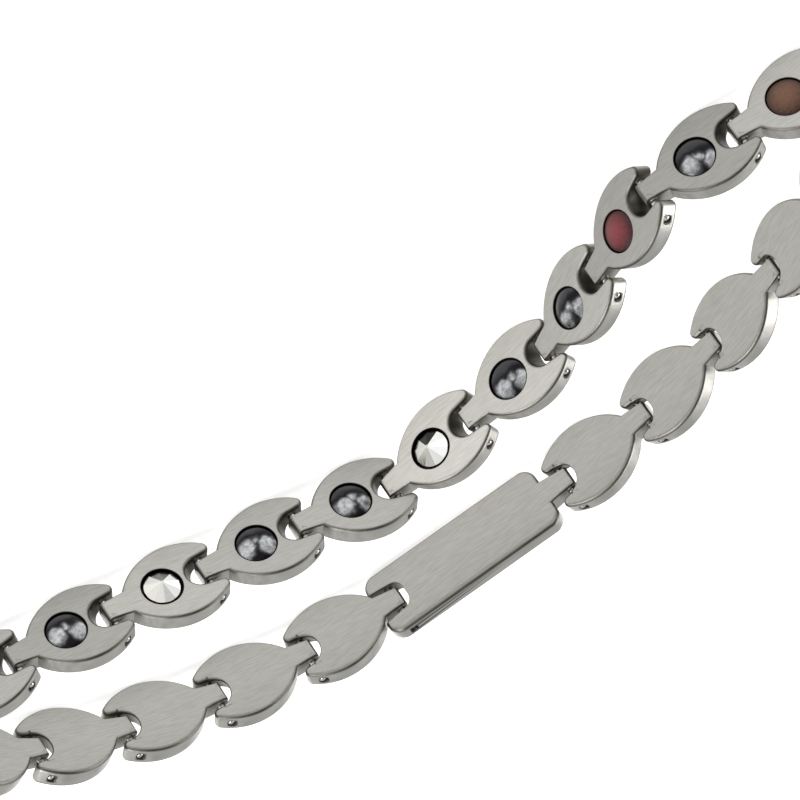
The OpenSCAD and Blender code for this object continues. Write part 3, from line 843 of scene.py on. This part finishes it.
def link_number(place):
    """Links are numbered along the loop, and the clasp has no number."""
    return place + 1 if place < CARRIED.index("clasp") else place


clasp_place = CARRIED.index("clasp")
link_places = [i for i in range(len(headings)) if i != clasp_place]
steel = satin_steel()

link = plate("link", link_outline(), NOTCH_X, True, [0, PITCH])
links = set_round_loop("links", finish_mesh(link, PLATE_CREASE), link_places, steel)
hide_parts(*["link_%02d" % link_number(i) for i in link_places])

clasp_solid = plate("clasp", clasp_outline(), NOTCH_X + PITCH, False, [0, 2 * PITCH])
clasp = set_round_loop("clasp_plate", finish_mesh(clasp_solid, PLATE_CREASE), [clasp_place], steel)
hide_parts("clasp")

pieces = [links, clasp]
for kind, name, mesh, finish, slot_name in (
        ("dark", "dark_domes", dome_mesh(), dark_magnet(), "dark_magnet"),
        ("stone", "bright_stones", stone_mesh(), bright_facets(), "bright_stone"),
        ("red", "red_domes", dome_mesh(), ceramic("Matt red ceramic", "#380f13", "#773034"), "red_ceramic"),
        ("brown", "brown_domes", dome_mesh(), ceramic("Matt brown ceramic", "#3a2519", "#6c4a37"), "brown_ceramic")):
    places = [i for i in link_places if CARRIED[i] == kind]
    crease = FACET_CREASE if kind == "stone" else INSERT_CREASE
    piece = set_round_loop(name, finish_mesh(mesh, crease), places, finish)
    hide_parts(*["%s_%02d" % (FULL_NAME[kind], link_number(i)) for i in places])
    pieces.append(piece)

pin_piece = set_round_loop("pins", finish_mesh(pin_mesh(), INSERT_CREASE), range(len(headings)), pin_steel())
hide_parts("hinge_pins")
pieces.append(pin_piece)

for piece in pieces:
    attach(piece, "root")

# Table, light and camera

table_mesh = bpy.data.meshes.new("table")
table_mesh.from_pydata([(-3, -3, 0), (3, -3, 0), (3, 3, 0), (-3, 3, 0)], [], [(0, 1, 2, 3)])
table = new_object("table", table_mesh)
table_mesh.materials.append(table_top())


def softbox(name, at, to, size, watts):
    """A rectangular area light at a place, facing another, both in metres."""
    lamp = bpy.data.lights.new(name, "AREA")
    lamp.shape = "RECTANGLE"
    lamp.size, lamp.size_y = size
    lamp.energy = watts
    obj = new_object(name, lamp)
    aim = (Vector(to) - Vector(at)).to_track_quat("-Z", "Y")
    obj.matrix_world = Matrix.Translation(at) @ aim.to_matrix().to_4x4()
    return obj


softbox("softbox_right", (0.6, 0.0, 0.55), (0, 0, 0), (0.5, 0.5), 3.5)
softbox("softbox_left", (-0.65, 0.05, 0.5), (0, 0, 0), (0.6, 0.6), 3.0)

# The room is white, brightest in front of the bracelet, where its window is. Its ceiling is darker over
# the front, which draws a soft dark line along the links' upper shoulders.
world = bpy.data.worlds.new("studio")
bpy.context.scene.world = world
world.use_nodes = True
world.node_tree.nodes.clear()
where = add(world.node_tree, "ShaderNodeTexCoord").outputs["Generated"]
rearward = add(world.node_tree, "ShaderNodeSeparateXYZ", {"Vector": where}).outputs["Y"]
window = add(world.node_tree, "ShaderNodeMapRange", {
    "Value": rearward, "From Min": -0.95, "From Max": -0.1, "To Min": 1.05, "To Max": 0.62}).outputs["Result"]
overhead = add(world.node_tree, "ShaderNodeVectorMath", {0: where, 1: (-0.293, -0.408, 0.863)},
               operation="DOT_PRODUCT").outputs["Value"]
ceiling = add(world.node_tree, "ShaderNodeMapRange", {
    "Value": overhead, "From Min": 0.75, "From Max": 0.93, "To Min": 1.0, "To Max": 0.08},
    interpolation_type="SMOOTHSTEP").outputs["Result"]
bright = add(world.node_tree, "ShaderNodeMath", {0: window, 1: ceiling}, operation="MULTIPLY").outputs["Value"]
sky = add(world.node_tree, "ShaderNodeBackground", {"Color": linear("#ffffff"), "Strength": bright})
add(world.node_tree, "ShaderNodeOutputWorld", {"Surface": sky.outputs["Background"]})

# The camera looks at the front run from the photograph's side, and is rolled as there.
camera_data = bpy.data.cameras.new("camera")
camera = new_object("camera", camera_data)
back = Vector((0.29328, -0.81648, 0.49734)).normalized()
right = Vector((-0.86978, -0.01195, 0.49329))
right = (right - back * right.dot(back)).normalized()
turned = Matrix((right, back.cross(right), back)).transposed()
camera.matrix_world = Matrix.Translation(Vector((158.061, -448.0, 272.321)) * MM) @ turned.to_4x4()
camera_data.sensor_width = 36
camera_data.lens = 307.348
camera_data.clip_start = 0.01
camera_data.clip_end = 10
bpy.context.scene.camera = camera
bpy.context.scene.view_settings.view_transform = "Standard"
